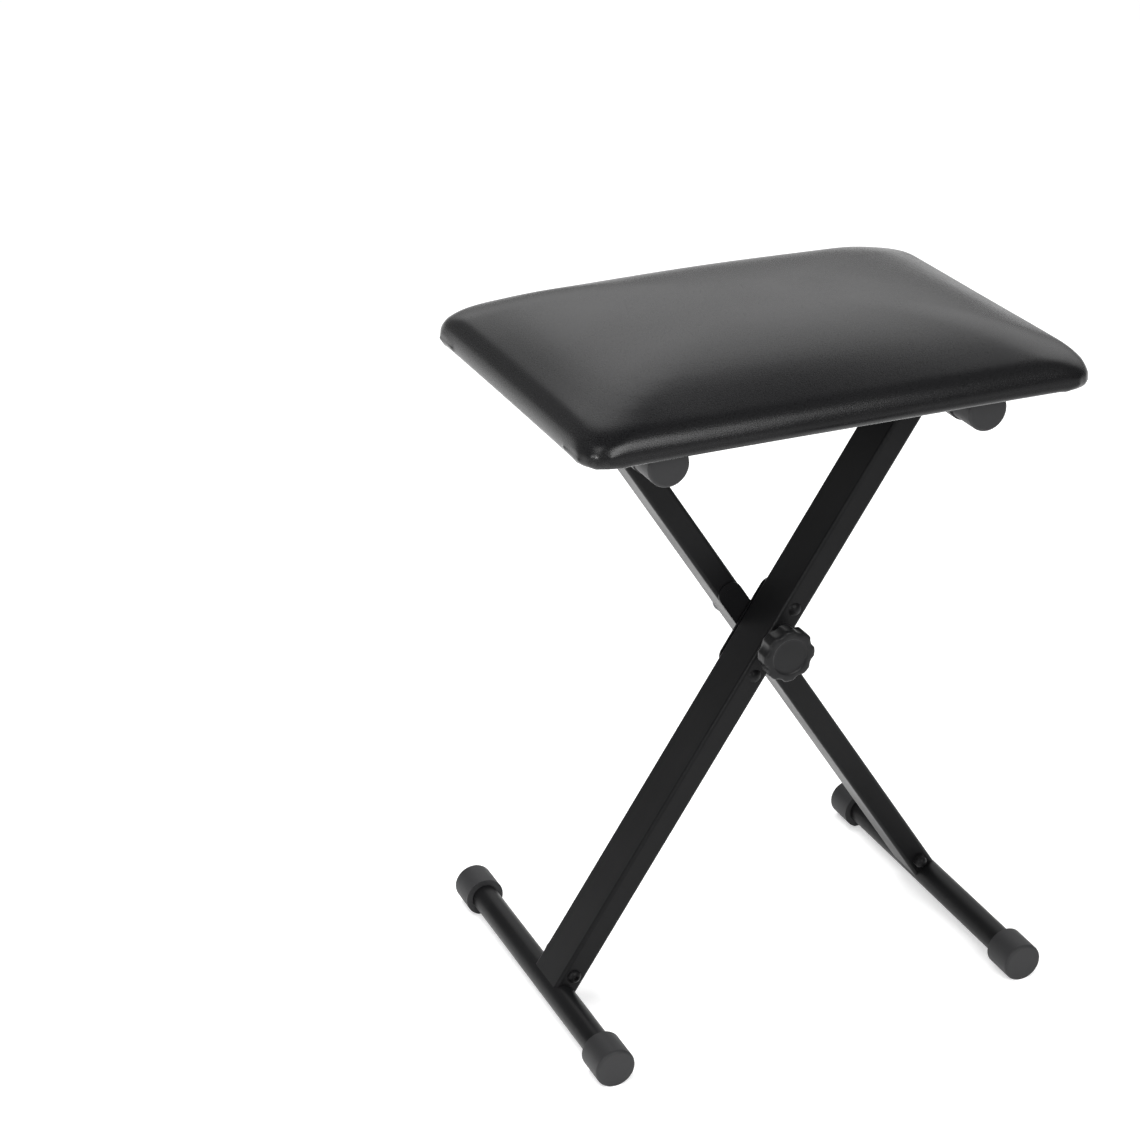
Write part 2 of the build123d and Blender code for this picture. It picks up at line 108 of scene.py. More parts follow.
def turned(name, centre, way, rings, material, segments=96):
    """Turned or moulded round an axis: each ring is (distance along the axis, radius) in millimetres,
    and either may be a function of the angle. A ring of radius 0 is a closing point."""
    axis = Vector(way).normalized()
    across = Vector((1, 0, 0))
    up = axis.cross(across)
    verts, faces, rows = [], [], []
    for along, radius in rings:
        if radius == 0:
            verts.append(Vector(centre) + axis * along * MM)
            rows.append([len(verts) - 1] * segments)
            continue
        row = []
        for step in range(segments):
            angle = 2 * pi * step / segments
            spoke = across * cos(angle) + up * sin(angle)
            out = radius(angle) if callable(radius) else radius
            far = along(angle) if callable(along) else along
            verts.append(Vector(centre) + spoke * out * MM + axis * far * MM)
            row.append(len(verts) - 1)
        rows.append(row)
    for row, after in zip(rows, rows[1:]):
        for step in range(segments):
            nxt = (step + 1) % segments
            corners = [row[step], row[nxt], after[nxt], after[step]]
            faces.append(list(dict.fromkeys(corners)))
    piece = piece_from(name, [tuple(v) for v in verts], faces, material)
    outward(piece)
    shade(piece, sharp=30)
    return piece


# Node helpers
def add_node(tree, kind, settings=None, **values):
    """A node with its settings, and its input sockets set or linked by name, or by number as in i0."""
    made = tree.nodes.new(kind)
    for key, value in (settings or {}).items():
        setattr(made, key, value)
    for key, value in values.items():
        numbered = key[0] == "i" and key[1:].isdigit()
        socket = made.inputs[int(key[1:]) if numbered else key.replace("_", " ")]
        if isinstance(value, bpy.types.NodeSocket):
            tree.links.new(value, socket)
        else:
            socket.default_value = value
    return made


def math_node(tree, operation, first, second=0.0):
    return add_node(tree, "ShaderNodeMath", {"operation": operation}, i0=first, i1=second).outputs[0]


def span(tree, value, low, high, start=0.0, end=1.0):
    """The value's place between start and end, carried over to low and high."""
    return add_node(tree, "ShaderNodeMapRange", Value=value, i1=start, i2=end, i3=low, i4=high).outputs[0]


def eased(tree, value, start, end, low=0.0, high=1.0):
    """As span, along an S curve."""
    return add_node(tree, "ShaderNodeMapRange", {"interpolation_type": "SMOOTHSTEP"}, Value=value,
                    i1=start, i2=end, i3=low, i4=high).outputs[0]


def blend_colour(tree, share, dark, light):
    return add_node(tree, "ShaderNodeMix", {"data_type": "RGBA"}, i0=share,
                    i6=(*dark, 1), i7=(*light, 1)).outputs[2]


def seen_rays(tree):
    """1 for what the camera sees, straight, mirrored or through glass, and 0 for the light that it casts."""
    path = tree.nodes.new("ShaderNodeLightPath").outputs
    straight_or_mirrored = math_node(tree, "MAXIMUM", path["Is Camera Ray"], path["Is Glossy Ray"])
    return math_node(tree, "MAXIMUM", straight_or_mirrored, path["Is Transmission Ray"])


def shader_group(name, inputs, outputs):
    tree = bpy.data.node_groups.new(name, "ShaderNodeTree")
    for label, kind, value in inputs:
        socket = tree.interface.new_socket(label, in_out="INPUT", socket_type=kind)
        if value is not None:
            socket.default_value = value
    for label in outputs:
        tree.interface.new_socket(label, in_out="OUTPUT", socket_type="NodeSocketFloat")
    return tree, tree.nodes.new("NodeGroupInput").outputs, tree.nodes.new("NodeGroupOutput")


# Shader effects that several finishes share
def make_fine_grain():
    """Even speckle over slow waves: moulded plastic, rubber and powder coat."""
    tree, given, put = shader_group(
        "fine_grain", [("Vector", "NodeSocketVector", None), ("Scale", "NodeSocketFloat", 1200.0),
                       ("Wave Share", "NodeSocketFloat", 0.4)], ["Height", "Tone"])
    slow_scale = math_node(tree, "MULTIPLY", given["Scale"], 0.16)
    fine = add_node(tree, "ShaderNodeTexNoise", Vector=given["Vector"], Scale=given["Scale"], Detail=3.0)
    slow = add_node(tree, "ShaderNodeTexNoise", Vector=given["Vector"], Scale=slow_scale, Detail=2.0)
    tone = add_node(tree, "ShaderNodeTexNoise", Vector=given["Vector"], Scale=14.0, Detail=4.0)
    height = add_node(tree, "ShaderNodeMix", i0=given["Wave Share"], i2=fine.outputs[0], i3=slow.outputs[0])
    tree.links.new(height.outputs[0], put.inputs["Height"])
    tree.links.new(tone.outputs[0], put.inputs["Tone"])
    return tree


def make_hide_cells():
    """Small rounded cells with creases between them, as embossed on vinyl."""
    tree, given, put = shader_group(
        "hide_cells", [("Vector", "NodeSocketVector", None), ("Scale", "NodeSocketFloat", 700.0)],
        ["Height", "Crease"])
    drift_reach = (0.0022, 0.0022, 0.0022)
    small_scale = math_node(tree, "MULTIPLY", given["Scale"], 2.2)
    drift = add_node(tree, "ShaderNodeTexNoise", Vector=given["Vector"], Scale=160.0, Detail=2.0)
    bent = add_node(tree, "ShaderNodeVectorMath", {"operation": "MULTIPLY_ADD"}, i0=drift.outputs[1],
                    i1=drift_reach, i2=given["Vector"])
    cells = add_node(tree, "ShaderNodeTexVoronoi", {"feature": "DISTANCE_TO_EDGE"}, Vector=bent.outputs[0],
                     Scale=given["Scale"])
    small = add_node(tree, "ShaderNodeTexVoronoi", {"feature": "F1"}, Vector=bent.outputs[0],
                     Scale=small_scale)
    crease = eased(tree, cells.outputs[0], 0.0, 0.16)
    pebble = math_node(tree, "MULTIPLY", small.outputs[0], -0.25)
    tree.links.new(math_node(tree, "ADD", crease, pebble), put.inputs["Height"])
    tree.links.new(crease, put.inputs["Crease"])
    return tree


def make_handling_marks():
    """Faint rubbed streaks and spots left by hands and by folding."""
    tree, given, put = shader_group(
        "handling_marks", [("Vector", "NodeSocketVector", None), ("Scale", "NodeSocketFloat", 30.0),
                           ("Amount", "NodeSocketFloat", 0.5)], ["Mask"])
    long_way = add_node(tree, "ShaderNodeMapping", i0=given["Vector"], i3=(1.0, 0.35, 2.4))
    rub = add_node(tree, "ShaderNodeTexNoise", Vector=long_way.outputs[0], Scale=given["Scale"], Detail=6.0,
                   Roughness=0.62)
    clear = math_node(tree, "SUBTRACT", 0.74, math_node(tree, "MULTIPLY", given["Amount"], 0.2))
    tree.links.new(eased(tree, rub.outputs[0], clear, 0.86), put.inputs["Mask"])
    return tree


fine_grain = make_fine_grain()
hide_cells = make_hide_cells()
handling_marks = make_handling_marks()


# Finishes
def place_group(tree, group, **values):
    return add_node(tree, "ShaderNodeGroup", {"node_tree": group}, **values).outputs


def finish(name, metallic=0.0, specular=0.5):
    """An empty finish: its material, tree, shader and Object coordinates."""
    material = bpy.data.materials.new(name)
    material.use_nodes = True
    tree = material.node_tree
    tree.nodes.clear()
    shader = add_node(tree, "ShaderNodeBsdfPrincipled", Metallic=metallic, Specular_IOR_Level=specular)
    out = tree.nodes.new("ShaderNodeOutputMaterial")
    tree.links.new(shader.outputs[0], out.inputs[0])
    where = tree.nodes.new("ShaderNodeTexCoord").outputs["Object"]
    return material, tree, shader, where


def raise_surface(tree, shader, height, distance, strength, under=None):
    """Bumps the surface, over another bump where one is given."""
    bump = add_node(tree, "ShaderNodeBump", Height=height, Distance=distance, Strength=strength)
    if under is not None:
        tree.links.new(under, bump.inputs["Normal"])
    tree.links.new(bump.outputs[0], shader.inputs["Normal"])
    return bump.outputs[0]


def speckled(name, dark, light, rough, scale, depth, wave=0.4, marks=0.3, specular=0.5):
    """Black paint, plastic and rubber: speckle, uneven gloss and faint rubbed marks."""
    material, tree, shader, where = finish(name, specular=specular)
    grain = place_group(tree, fine_grain, Vector=where, Scale=scale, Wave_Share=wave)
    rubbed = place_group(tree, handling_marks, Vector=where, Amount=marks)
    tone = math_node(tree, "ADD", grain["Tone"], math_node(tree, "MULTIPLY", rubbed["Mask"], 0.35))
    tree.links.new(blend_colour(tree, tone, dark, light), shader.inputs["Base Color"])
    gloss = math_node(tree, "ADD", span(tree, grain["Tone"], rough - 0.05, rough + 0.05, 0.3, 0.7),
                      math_node(tree, "MULTIPLY", rubbed["Mask"], -0.06))
    tree.links.new(gloss, shader.inputs["Roughness"])
    raise_surface(tree, shader, grain["Height"], depth, 0.35)
    return material


def plated(name, colour, shadow, rough):
    """Zinc plate or machined brass: drawn streaks and slightly clouded gloss."""
    material, tree, shader, where = finish(name, metallic=1.0)
    grain = place_group(tree, fine_grain, Vector=where, Scale=900.0, Wave_Share=0.6)
    rubbed = place_group(tree, handling_marks, Vector=where, Scale=90.0, Amount=0.8)
    tree.links.new(blend_colour(tree, grain["Tone"], shadow, colour), shader.inputs["Base Color"])
    gloss = math_node(tree, "ADD", span(tree, grain["Tone"], rough - 0.08, rough + 0.1, 0.3, 0.7),
                      math_node(tree, "MULTIPLY", rubbed["Mask"], 0.12))
    tree.links.new(gloss, shader.inputs["Roughness"])
    raise_surface(tree, shader, grain["Height"], 0.00008, 0.25)
    return material


def make_vinyl():
    """Seat cover: pebbled cells under a fine speckle, glossier on the cells than in the creases, with painted
    shade darkening the creases.
    """
    material, tree, shader, where = finish("satin_black_vinyl", specular=0.32)
    cells = place_group(tree, hide_cells, Vector=where, Scale=620.0)
    grain = place_group(tree, fine_grain, Vector=where, Scale=1500.0)
    # painted shade: the base colour is darker in the creases between the cells, where shade falls
    colour = blend_colour(tree, cells["Crease"], (0.003, 0.003, 0.0033), (0.0075, 0.0075, 0.0081))
    tree.links.new(colour, shader.inputs["Base Color"])
    gloss = math_node(tree, "SUBTRACT", span(tree, grain["Tone"], 0.26, 0.32, 0.3, 0.7),
                      math_node(tree, "MULTIPLY", cells["Crease"], 0.05))
    tree.links.new(gloss, shader.inputs["Roughness"])
    pebbled = raise_surface(tree, shader, cells["Height"], 0.00012, 0.14)
    raise_surface(tree, shader, grain["Height"], 0.00006, 0.12, under=pebbled)
    return material


def make_dust_cloth():
    """Coarse black lining cloth, woven square."""
    material, tree, shader, where = finish("black_lining_cloth", specular=0.2)
    warp, weft = [add_node(tree, "ShaderNodeTexWave", {"bands_direction": way}, Vector=where, Scale=190.0,
                           Distortion=0.6).outputs[1] for way in ("X", "Y")]
    weave = math_node(tree, "MAXIMUM", warp, weft)
    grain = place_group(tree, fine_grain, Vector=where, Scale=700.0)
    colour = blend_colour(tree, math_node(tree, "MULTIPLY", weave, grain["Tone"]), (0.004, 0.004, 0.0045),
                          (0.03, 0.03, 0.032))
    tree.links.new(colour, shader.inputs["Base Color"])
    tree.links.new(span(tree, grain["Tone"], 0.84, 0.98), shader.inputs["Roughness"])
    raise_surface(tree, shader, weave, 0.0003, 0.6)
    return material


def make_plywood():
    """Veneers stacked upwards, with a stretched grain."""
    veneer = 0.0017
    material, tree, shader, where = finish("birch_plywood", specular=0.3)
    split = add_node(tree, "ShaderNodeSeparateXYZ", i0=where)
    layer = math_node(tree, "PINGPONG", split.outputs[2], veneer)
    stretched = add_node(tree, "ShaderNodeMapping", i0=where, i3=(9.0, 160.0, 160.0))
    fibre = add_node(tree, "ShaderNodeTexNoise", Vector=stretched.outputs[0], Scale=1.6, Detail=6.0)
    share = math_node(tree, "MULTIPLY", fibre.outputs[0], span(tree, layer, 0.6, 1.3, 0.0, veneer))
    colour = blend_colour(tree, share, (0.30, 0.18, 0.085), (0.62, 0.45, 0.27))
    tree.links.new(colour, shader.inputs["Base Color"])
    tree.links.new(span(tree, fibre.outputs[0], 0.5, 0.75), shader.inputs["Roughness"])
    raise_surface(tree, shader, fibre.outputs[0], 0.0002, 0.3)
    return material


vinyl = make_vinyl()
powder_coat = speckled("black_powder_coat", (0.0035, 0.0035, 0.0038), (0.0085, 0.0085, 0.009),
                       rough=0.38, scale=1100.0, depth=0.00012, specular=0.12)
cap_rubber = speckled("black_cap_rubber", (0.012, 0.012, 0.0127), (0.026, 0.026, 0.0274),
                      rough=0.56, scale=1500.0, depth=0.0001, wave=0.3, marks=0.6, specular=0.35)
bracket_nylon = speckled("black_nylon", (0.012, 0.012, 0.0125), (0.026, 0.026, 0.027),
                         rough=0.48, scale=1300.0, depth=0.0001)
knob_plastic = speckled("black_knob_plastic", (0.008, 0.008, 0.0084), (0.017, 0.017, 0.0178),
                        rough=0.34, scale=1700.0, depth=0.00009, specular=0.15)
zinc = plated("zinc_plate", (0.74, 0.75, 0.77), (0.56, 0.57, 0.60), rough=0.30)
brass = plated("turned_brass", (0.78, 0.60, 0.28), (0.62, 0.45, 0.19), rough=0.27)
lining = make_dust_cloth()
plywood = make_plywood()

slot_finish = {"vinyl": vinyl, "foam": lining, "plywood": plywood, "dust cloth": lining,
               "black steel": powder_coat, "zinc steel": zinc, "cap rubber": cap_rubber,
               "nylon": bracket_nylon, "knob plastic": knob_plastic, "brass": brass}
for part in frame["record"]["subparts"]:
    for slot in nodes[part["node"]].material_slots:
        slot.material = slot_finish[part["material_slot"]]


# Seat, whose stuffed cover stands a little proud of the plain CAD pad at its ends
END_PROUD, SIDE_PROUD = 0.0025, 0.0010    # past the CAD pad, before the next two sizes draw it in
PAD_SHRINK = 0.0005                       # all round, before the pad is filled
SIDE_DRAW = 0.0008                        # how far the sides pull in between the corners
SWELL_ROOM = 0.0040                       # left under the CAD crown for the stuffing
CORNER_RADIUS, CORNER_GROWTH = 0.020, 1.4    # at the outer edge, and its gain per metre of inset
CORNER_SPARE, CORNER_EASE = 0.002, 0.010     # kept from half the width, and eased towards that
ROLL_RADIUS, ROLL_FOOT, ROLL_END = 0.023, 0.006, 57    # rolled edge, where it starts and its angle
ROLL_STEPS, CROWN_STEPS, CROWN_POWER = 12, 29, 3.0
UNDER_RINGS = ((0.030, 0), (0.012, 0))    # inset and height of those that lie flat under the board
EDGE_RINGS = ((0.0027, 0), (0.0007, 0.003))    # the same for those round the lower edge
PAD_VOXEL = 0.0042
PRESSURE, MOST_SWELL, LEAST_SWELL = 5.0, 0.0022, -0.0004
SWELL_ROUNDS = 90
HELD_RISE, HELD_FADE, HELD_SHARE = 0.003, 0.012, 0.8    # how high the cover is held to the board
SNUG_RISE, SNUG_FADE = 0.010, 0.006       # above which the even mesh follows the smooth form
RIM_PULL = 0.0013
PLEAT_INSET, PLEAT_START, PLEAT_RISE, PLEAT_DEPTH = 0.045, 0.012, 0.009, 0.0009
PLEAT_SPREAD, PLEAT_EASE, PLEAT_PITCH = 37, 12, 20    # degrees round the corner


def smooth_least(first, second, ease):
    """The lesser of two lengths, with an eased change from one to the other."""
    near = max(0.0, ease - abs(first - second)) / ease
    return min(first, second) - near ** 3 * ease / 6


def pad_outline(inset, steps_corner=10, steps_side=16):
    """Rounded oblong with its sides drawn in between the corners, as points in metres."""
    half_x = seat_high.x + END_PROUD - inset
    half_y = seat_high.y + SIDE_PROUD - inset
    corner = smooth_least(CORNER_RADIUS + CORNER_GROWTH * inset, half_y - CORNER_SPARE, CORNER_EASE)
    points = []
    for turn, (way_x, way_y) in enumerate(CORNER_WAYS):
        centre = Vector((way_x * (half_x - corner), way_y * (half_y - corner), 0))
        for step in range(steps_corner + 1):
            angle = radians(-90 + 90 * turn + 90 * step / steps_corner)
            points.append(centre + Vector((cos(angle), sin(angle), 0)) * corner)
        along_y = turn % 2 == 0
        reach = 2 * ((half_y if along_y else half_x) - corner)
        start = points[-1]
        for step in range(1, steps_side):
            share = step / steps_side
            pull = SIDE_DRAW * 4 * share * (1 - share)
            travel = reach * share
            move = ((-pull, travel), (-travel, -pull), (pull, -travel), (travel, pull))[turn]
            points.append(start + Vector((*move, 0)))
    return points


def pad_rings():
    """Rings of points from the underside, round the rolled edge and up the crown, a smooth dome."""
    roll = ROLL_RADIUS - PAD_SHRINK
    crown = seat_high.z - seat_low.z - PAD_SHRINK - SWELL_ROOM
    levels = list(UNDER_RINGS) + [(PAD_SHRINK + inset, height) for inset, height in EDGE_RINGS]
    for step in range(ROLL_STEPS + 1):
        turn = radians(ROLL_END * step / ROLL_STEPS)
        levels.append((PAD_SHRINK + roll * (1 - cos(turn)), ROLL_FOOT + roll * sin(turn)))
    rings = [[Vector((p.x, p.y, height)) for p in pad_outline(inset)] for inset, height in levels]
    edge = rings[-1]
    half_x, half_y, shoulder = max(p.x for p in edge), max(p.y for p in edge), edge[0].z
    for step in range(1, CROWN_STEPS):
        share = step / CROWN_STEPS
        height = crown - (crown - shoulder) * (1 - share) ** CROWN_POWER
        ring = []
        for p in edge:
            oval = 1 / sqrt((p.x / half_x) ** 2 + (p.y / half_y) ** 2)
            size = (1 - share) * (1 - share + share * oval)
            ring.append(Vector((p.x * size, p.y * size, height)))
        rings.append(ring)
    return rings


def pad_form():
    """The pad before it is filled, as a closed skin through its rings."""
    verts, faces, rows = [], [], []
    for ring in pad_rings():
        rows.append(range(len(verts), len(verts) + len(ring)))
        verts += [(p.x, p.y, seat_low.z + p.z) for p in ring]
    for row, after in zip(rows, rows[1:]):
        for step in range(len(row)):
            nxt = (step + 1) % len(row)
            faces.append((row[step], row[nxt], after[nxt], after[step]))
    faces.append(tuple(reversed(rows[0])))
    faces.append(tuple(rows[-1]))
    form = piece_from("pad_form", verts, faces, vinyl)
    outward(form)
    return form


def even_mesh(form):
    """The form in even faces, relaxed and laid back on its smooth surface above the lower edge."""
    remesh = form.modifiers.new("even", "REMESH")
    remesh.mode = "VOXEL"
    remesh.voxel_size = PAD_VOXEL
    even = plain_copy(form, "pad_even")
    form.modifiers.remove(remesh)
    rounder = form.modifiers.new("rounder", "SUBSURF")
    rounder.levels = rounder.render_levels = 2
    upper = even.vertex_groups.new(name="upper")
    for vertex in even.data.vertices:
        share = (vertex.co.z - seat_low.z - SNUG_RISE) / SNUG_FADE
        upper.add([vertex.index], min(1.0, max(0.0, share)), "REPLACE")
    relax = even.modifiers.new("relax", "SMOOTH")
    relax.factor = 0.5
    relax.iterations = 14
    relax.vertex_group = "upper"
    snug = even.modifiers.new("snug", "SHRINKWRAP")
    snug.target = form
    snug.wrap_method = "NEAREST_SURFACEPOINT"
    snug.vertex_group = "upper"
    body = plain_copy(even, "pad_body")
    discard(even)
    return body


def even_out(piece, values, rounds):
    """Spreads a value per vertex over its neighbours, as firm foam does under a cover."""
    ends = np.array([edge.vertices[:] for edge in piece.data.edges])
    neighbours = np.bincount(ends.ravel(), minlength=len(values))
    for _ in range(rounds):
        total = np.zeros_like(values)
        np.add.at(total, ends[:, 0], values[ends[:, 1]])
        np.add.at(total, ends[:, 1], values[ends[:, 0]])
        values = 0.5 * values + 0.5 * (total / neighbours)
    return values


def inflate(pad):
    """Fills the pad like a stuffed cover, its underside held, no point swelling out too far."""
    flat = np.array([v.co for v in pad.data.vertices])
    out = np.array([v.normal for v in pad.data.vertices])
    held = pad.vertex_groups.new(name="held")
    for vertex in pad.data.vertices:
        rise = vertex.co.z - seat_low.z - HELD_RISE
        held.add([vertex.index], 1.0 if rise < 0 else max(0.0, HELD_SHARE - rise / HELD_FADE), "REPLACE")
    cloth = pad.modifiers.new("stuffing", "CLOTH")
    settings = cloth.settings
    settings.quality = 6
    settings.mass = 0.25
    settings.tension_stiffness = 14
    settings.compression_stiffness = 14
    settings.shear_stiffness = 6
    settings.bending_stiffness = 0.6
    settings.use_pressure = True
    settings.uniform_pressure_force = PRESSURE
    settings.vertex_group_mass = "held"
    settings.effector_weights.gravity = 0
    for step in range(1, 21):
        scene.frame_set(step)
    graph = bpy.context.evaluated_depsgraph_get()
    full = np.array([v.co for v in pad.evaluated_get(graph).data.vertices])
    pad.modifiers.remove(cloth)
    scene.frame_set(1)
    swell = np.clip(np.sum((full - flat) * out, axis=1), LEAST_SWELL, MOST_SWELL)
    swell = even_out(pad, swell, SWELL_ROUNDS)
    pad.data.vertices.foreach_set("co", (flat + out * swell[:, None]).ravel())


def tighten_rim(pad):
    """Pulls the cover tight over the lower edge of the board, which the even mesh rounds off."""
    points = np.array([v.co for v in pad.data.vertices])
    out = np.array([v.normal for v in pad.data.vertices])
    level = np.hypot(out[:, 0], out[:, 1])
    push = np.clip(-2 * level * out[:, 2], 0, 1) ** 2 * RIM_PULL
    return points + out * push[:, None]


def corner_pleats(points):
    """Folds of the cover gathered at each corner on the underside, fading out round the edge."""
    moved = points.copy()
    rise = points[:, 2] - seat_low.z
    fade = np.clip(1 - rise / PLEAT_RISE, 0, 1) ** 2
    for way_x, way_y in CORNER_WAYS:
        centre = np.array((way_x * (seat_high.x - PLEAT_INSET), way_y * (seat_high.y - PLEAT_INSET)))
        off = (points[:, :2] - centre) * (way_x, way_y)
        far = np.hypot(off[:, 0], off[:, 1])
        angle = np.degrees(np.arctan2(off[:, 1], off[:, 0])) - 45
        between_sides = np.clip((PLEAT_SPREAD - np.abs(angle)) / PLEAT_EASE, 0, 1)
        inside = between_sides * np.clip((far - PLEAT_START) / PLEAT_START, 0, 1)
        fold = np.abs(np.sin(pi * angle / PLEAT_PITCH))
        moved[:, 2] -= inside * fade * (1 - fold) ** 1.5 * PLEAT_DEPTH
    return moved


def seat_cushion():
    """The filled cushion, with its rim pulled tight and its corners pleated underneath."""
    form = pad_form()
    body = even_mesh(form)
    discard(form)
    inflate(body)
    finer = body.modifiers.new("finer", "SUBSURF")
    finer.levels = finer.render_levels = 1
    made = plain_copy(body, "seat_cushion")
    discard(body)
    made.data.vertices.foreach_set("co", corner_pleats(tighten_rim(made)).ravel())
    made.data.materials.clear()
    made.data.materials.append(vinyl)
    for face in made.data.polygons:
        face.use_smooth = True
    return made


cushion = seat_cushion()
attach(cushion, "seat")
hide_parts("seat_cover", "seat_foam")

# Lining under the board
LINING_THICK = 0.0004
LINING_CUT = 0.012                        # radius of its corners
LINING_SLACK, SLACK_FADE = 0.00012, 0.03    # depth of its waves, reached that far in from the edge
WAVES_X, WAVES_Y = 95, 120                # radians per metre
HEM_WIDTH, HEM_DROP = 0.010, 0.00018


def lining_sheet():
    """Lining cloth stretched under the board, with a hem turned in all round."""
    wide, deep = cloth_high.x, cloth_high.y
    middle = (cloth_low.z + cloth_high.z) / 2
    count_x, count_y = 96, 68
    verts, faces = [], []
    for row in range(count_y + 1):
        for column in range(count_x + 1):
            x = wide * (2 * column / count_x - 1)
            y = deep * (2 * row / count_y - 1)
            edge = min(wide - abs(x), deep - abs(y))
            slack = LINING_SLACK * sin(x * WAVES_X) * sin(y * WAVES_Y) * min(1, edge / SLACK_FADE)
            hem = HEM_DROP if edge < HEM_WIDTH else 0
            over_x, over_y = abs(x) - (wide - LINING_CUT), abs(y) - (deep - LINING_CUT)
            over = sqrt(over_x ** 2 + over_y ** 2)
            if over_x > 0 and over_y > 0 and over > LINING_CUT:
                shrink = LINING_CUT / over
                x = (wide - LINING_CUT + over_x * shrink) * (1 if x > 0 else -1)
                y = (deep - LINING_CUT + over_y * shrink) * (1 if y > 0 else -1)
            verts.append((x, y, middle + slack - hem))
    for row in range(count_y):
        for column in range(count_x):
            first = row * (count_x + 1) + column
            faces.append((first, first + count_x + 1, first + count_x + 2, first + 1))
    sheet = piece_from("lining_sheet", verts, faces, lining)
    thick = sheet.modifiers.new("thick", "SOLIDIFY")
    thick.thickness = LINING_THICK
    thick.offset = 0
    made = plain_copy(sheet, "seat_lining")
    discard(sheet)
    outward(made)
    shade(made, sharp=60)
    return made


seat_lining = lining_sheet()
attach(seat_lining, "seat")
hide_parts("dust_cover")


# Repeated pieces, made with geometry nodes
def geometry_tree(name, inputs):
    tree = bpy.data.node_groups.new(name, "GeometryNodeTree")
    tree.interface.new_socket("Path", in_out="INPUT", socket_type="NodeSocketGeometry")
    for label, value in inputs:
        tree.interface.new_socket(label, in_out="INPUT", socket_type="NodeSocketFloat").default_value = value
    tree.interface.new_socket("Shape", in_out="OUTPUT", socket_type="NodeSocketGeometry")
    return tree, tree.nodes.new("NodeGroupInput").outputs, tree.nodes.new("NodeGroupOutput")


def close_tree(tree, shape, material, put):
    """The common end of each tree: real geometry, with its finish."""
    real = add_node(tree, "GeometryNodeRealizeInstances", i0=shape)
    painted = add_node(tree, "GeometryNodeSetMaterial", i0=real.outputs[0], Material=material)
    tree.links.new(painted.outputs[0], put.inputs[0])


def along_path(name, points, tree, **values):
    """The tree's shape along a closed path, as a plain mesh."""
    line = bpy.data.curves.new(name + "_path", "CURVE")
    line.dimensions = "3D"
    spline = line.splines.new("POLY")
    spline.points.add(len(points) - 1)
    for point, place in zip(spline.points, points):
        point.co = (*place, 1)
    spline.use_cyclic_u = True
    holder = bpy.data.objects.new(name + "_path", line)
    scene.collection.objects.link(holder)
    modifier = holder.modifiers.new("shape", "NODES")
    for item in tree.interface.items_tree:
        if item.in_out == "INPUT" and item.name in values:
            modifier[item.identifier] = values[item.name]
    modifier.node_group = tree
    made = plain_copy(holder, name)
    discard(holder)
    return made


def make_weld_bead():
    """Round bead with the overlapping ripples of a hand weld."""
    tree, given, put = geometry_tree("weld_bead", [("Bead", 0.0019), ("Ripple", 0.0028)])
    even = add_node(tree, "GeometryNodeResampleCurve", {"mode": "LENGTH"}, Curve=given["Path"], Length=0.0005)
    place = tree.nodes.new("GeometryNodeSplineParameter").outputs["Length"]
    wave = math_node(tree, "FRACT", math_node(tree, "DIVIDE", place, given["Ripple"]))
    crest = math_node(tree, "MULTIPLY", math_node(tree, "SUBTRACT", 1.0, wave), 0.3)
    swell = math_node(tree, "ADD", 0.82, crest)
    ring = add_node(tree, "GeometryNodeCurvePrimitiveCircle", Resolution=10, Radius=given["Bead"])
    swept = add_node(tree, "GeometryNodeCurveToMesh", Curve=even.outputs[0], Profile_Curve=ring.outputs[0],
                     Scale=swell)
    smooth = add_node(tree, "GeometryNodeSetShadeSmooth", i0=swept.outputs[0])
    close_tree(tree, smooth.outputs[0], powder_coat, put)
    return tree


def make_staple_row(wire):
    """One staple wire at even steps along the path, turned with it."""
    tree, given, put = geometry_tree("staple_row", [("Spacing", 0.026)])
    even = add_node(tree, "GeometryNodeResampleCurve", {"mode": "LENGTH"}, Curve=given["Path"],
                    Length=given["Spacing"])
    shape = add_node(tree, "GeometryNodeObjectInfo", i0=wire)
    tangent = tree.nodes.new("GeometryNodeInputTangent").outputs[0]
    turn = add_node(tree, "FunctionNodeAlignRotationToVector", {"axis": "X", "pivot_axis": "Z"},
                    Vector=tangent)
    rows = add_node(tree, "GeometryNodeInstanceOnPoints", Points=even.outputs[0],
                    Instance=shape.outputs["Geometry"], Rotation=turn.outputs[0])
    close_tree(tree, rows.outputs[0], zinc, put)
    return tree


def staple_wire():
    """Flat wire bent up at both ends into the board, its crown lying on the cloth."""
    crown, wide, thick, bend, prong, shoulder = 0.0052, 0.0006, 0.00035, 0.0009, 0.0012, 0.0002
    half_path = [(crown, prong), (crown, shoulder), (crown - bend * 0.4, -thick * 0.6),
                 (crown - bend, -thick)]
    path = [(-x, z) for x, z in half_path] + half_path[::-1]
    inner = [(x * 0.9, z + thick) for x, z in path]
    verts = [(x, side * wide, z) for x, z in path for side in (-1, 1)]
    verts += [(x, side * wide, z) for x, z in inner for side in (-1, 1)]
    half = 2 * len(path)
    faces = []
    for step in range(len(path) - 1):
        a, b, c, d = 2 * step, 2 * step + 1, 2 * step + 3, 2 * step + 2
        faces += [(a, b, c, d), (half + d, half + c, half + b, half + a), (b, half + b, half + c, c),
                  (d, half + d, half + a, a)]
    last = half - 2
    faces += [(0, half, half + 1, 1), (last + 1, half + last + 1, half + last, last)]
    wire = piece_from("staple_wire", verts, faces, zinc)
    outward(wire)
    return wire


